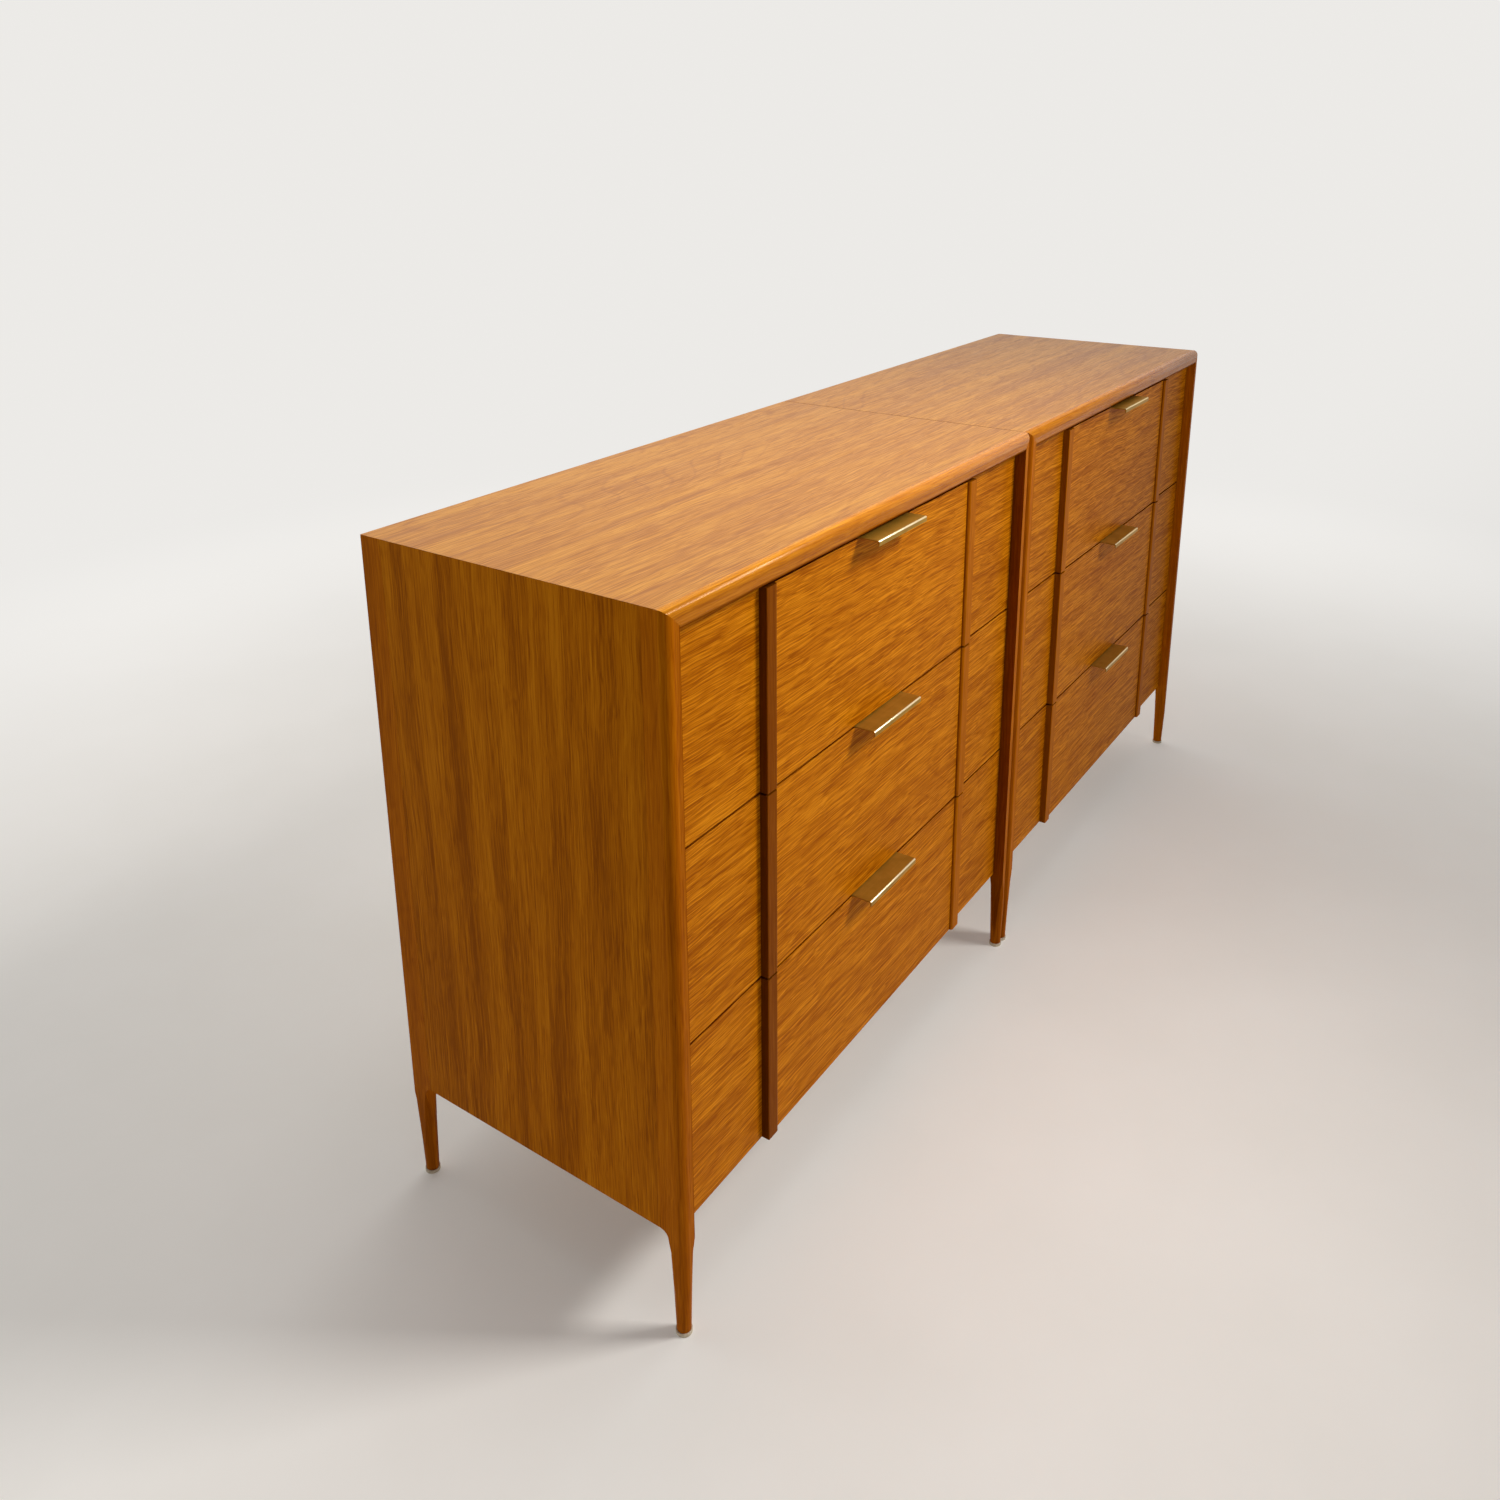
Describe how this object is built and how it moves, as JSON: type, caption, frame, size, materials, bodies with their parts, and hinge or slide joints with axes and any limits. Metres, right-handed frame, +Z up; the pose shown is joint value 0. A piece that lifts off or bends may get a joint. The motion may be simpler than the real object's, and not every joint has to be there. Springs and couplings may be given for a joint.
{
  "type": "dresser with drawers",
  "caption": "Long wooden dresser made of two matching cases side by side, with full-width sliding drawers, lipped metal pulls and short tapered legs.",
  "frame": {"origin": "on the floor, under the middle of the bounding box", "axes": "+X along the front to the right as seen from the front, +Y from the front to the back, +Z up"},
  "size_m": [1.828, 0.476, 0.915],
  "materials": {
    "top_veneer": "lengthwise teak-coloured veneer, satin lacquer",
    "moulding_wood": "solid wood, satin lacquer",
    "end_veneer": "upright veneer with darker bands, satin lacquer",
    "stile_wood": "solid wood, satin lacquer",
    "front_veneer": "lengthwise veneer with fine streaks, satin lacquer",
    "strip_wood": "dark solid wood, satin lacquer",
    "frame_wood": "plain unstained hardwood, waxed",
    "back_board": "plywood, thin stain",
    "pull_brass": "brushed and slightly dulled",
    "screw_steel": "plain zinc plated",
    "glide_nylon": "cream nylon"
  },
  "bodies": {
    "cases": {"left_top_panel": "top_veneer", "left_top_nosing": "moulding_wood", "left_outer_end": "end_veneer", "left_inner_end": "end_veneer", "left_front_outer_leg": "stile_wood", "left_front_inner_leg": "stile_wood", "left_back_outer_leg": "stile_wood", "left_back_inner_leg": "stile_wood", "left_back_panel": "back_board", "left_bottom_panel": "back_board", "left_web_rails": "frame_wood", "left_runners": "frame_wood", "left_foot_glides": "glide_nylon", "left_back_screws": "screw_steel", "right_top_panel": "top_veneer", "right_top_nosing": "moulding_wood", "right_outer_end": "end_veneer", "right_inner_end": "end_veneer", "right_front_outer_leg": "stile_wood", "right_front_inner_leg": "stile_wood", "right_back_outer_leg": "stile_wood", "right_back_inner_leg": "stile_wood", "right_back_panel": "back_board", "right_bottom_panel": "back_board", "right_web_rails": "frame_wood", "right_runners": "frame_wood", "right_foot_glides": "glide_nylon", "right_back_screws": "screw_steel", "joining_bolts": "screw_steel"},
    "left_lower_drawer": {"left_lower_front": "front_veneer", "left_lower_centre_panel": "front_veneer", "left_lower_strips": "strip_wood", "left_lower_box": "frame_wood", "left_lower_pull": "pull_brass"},
    "left_middle_drawer": {"left_middle_front": "front_veneer", "left_middle_centre_panel": "front_veneer", "left_middle_strips": "strip_wood", "left_middle_box": "frame_wood", "left_middle_pull": "pull_brass"},
    "left_upper_drawer": {"left_upper_front": "front_veneer", "left_upper_centre_panel": "front_veneer", "left_upper_strips": "strip_wood", "left_upper_box": "frame_wood", "left_upper_pull": "pull_brass"},
    "right_lower_drawer": {"right_lower_front": "front_veneer", "right_lower_centre_panel": "front_veneer", "right_lower_strips": "strip_wood", "right_lower_box": "frame_wood", "right_lower_pull": "pull_brass"},
    "right_middle_drawer": {"right_middle_front": "front_veneer", "right_middle_centre_panel": "front_veneer", "right_middle_strips": "strip_wood", "right_middle_box": "frame_wood", "right_middle_pull": "pull_brass"},
    "right_upper_drawer": {"right_upper_front": "front_veneer", "right_upper_centre_panel": "front_veneer", "right_upper_strips": "strip_wood", "right_upper_box": "frame_wood", "right_upper_pull": "pull_brass"}
  },
  "joints": [
    {"name": "left_lower_slide", "type": "slide", "parent": "cases", "child": "left_lower_drawer", "axis": [0, -1, 0], "range_m": [0, 0.33]},
    {"name": "left_middle_slide", "type": "slide", "parent": "cases", "child": "left_middle_drawer", "axis": [0, -1, 0], "range_m": [0, 0.33]},
    {"name": "left_upper_slide", "type": "slide", "parent": "cases", "child": "left_upper_drawer", "axis": [0, -1, 0], "range_m": [0, 0.33]},
    {"name": "right_lower_slide", "type": "slide", "parent": "cases", "child": "right_lower_drawer", "axis": [0, -1, 0], "range_m": [0, 0.33]},
    {"name": "right_middle_slide", "type": "slide", "parent": "cases", "child": "right_middle_drawer", "axis": [0, -1, 0], "range_m": [0, 0.33]},
    {"name": "right_upper_slide", "type": "slide", "parent": "cases", "child": "right_upper_drawer", "axis": [0, -1, 0], "range_m": [0, 0.33]}
  ]
}
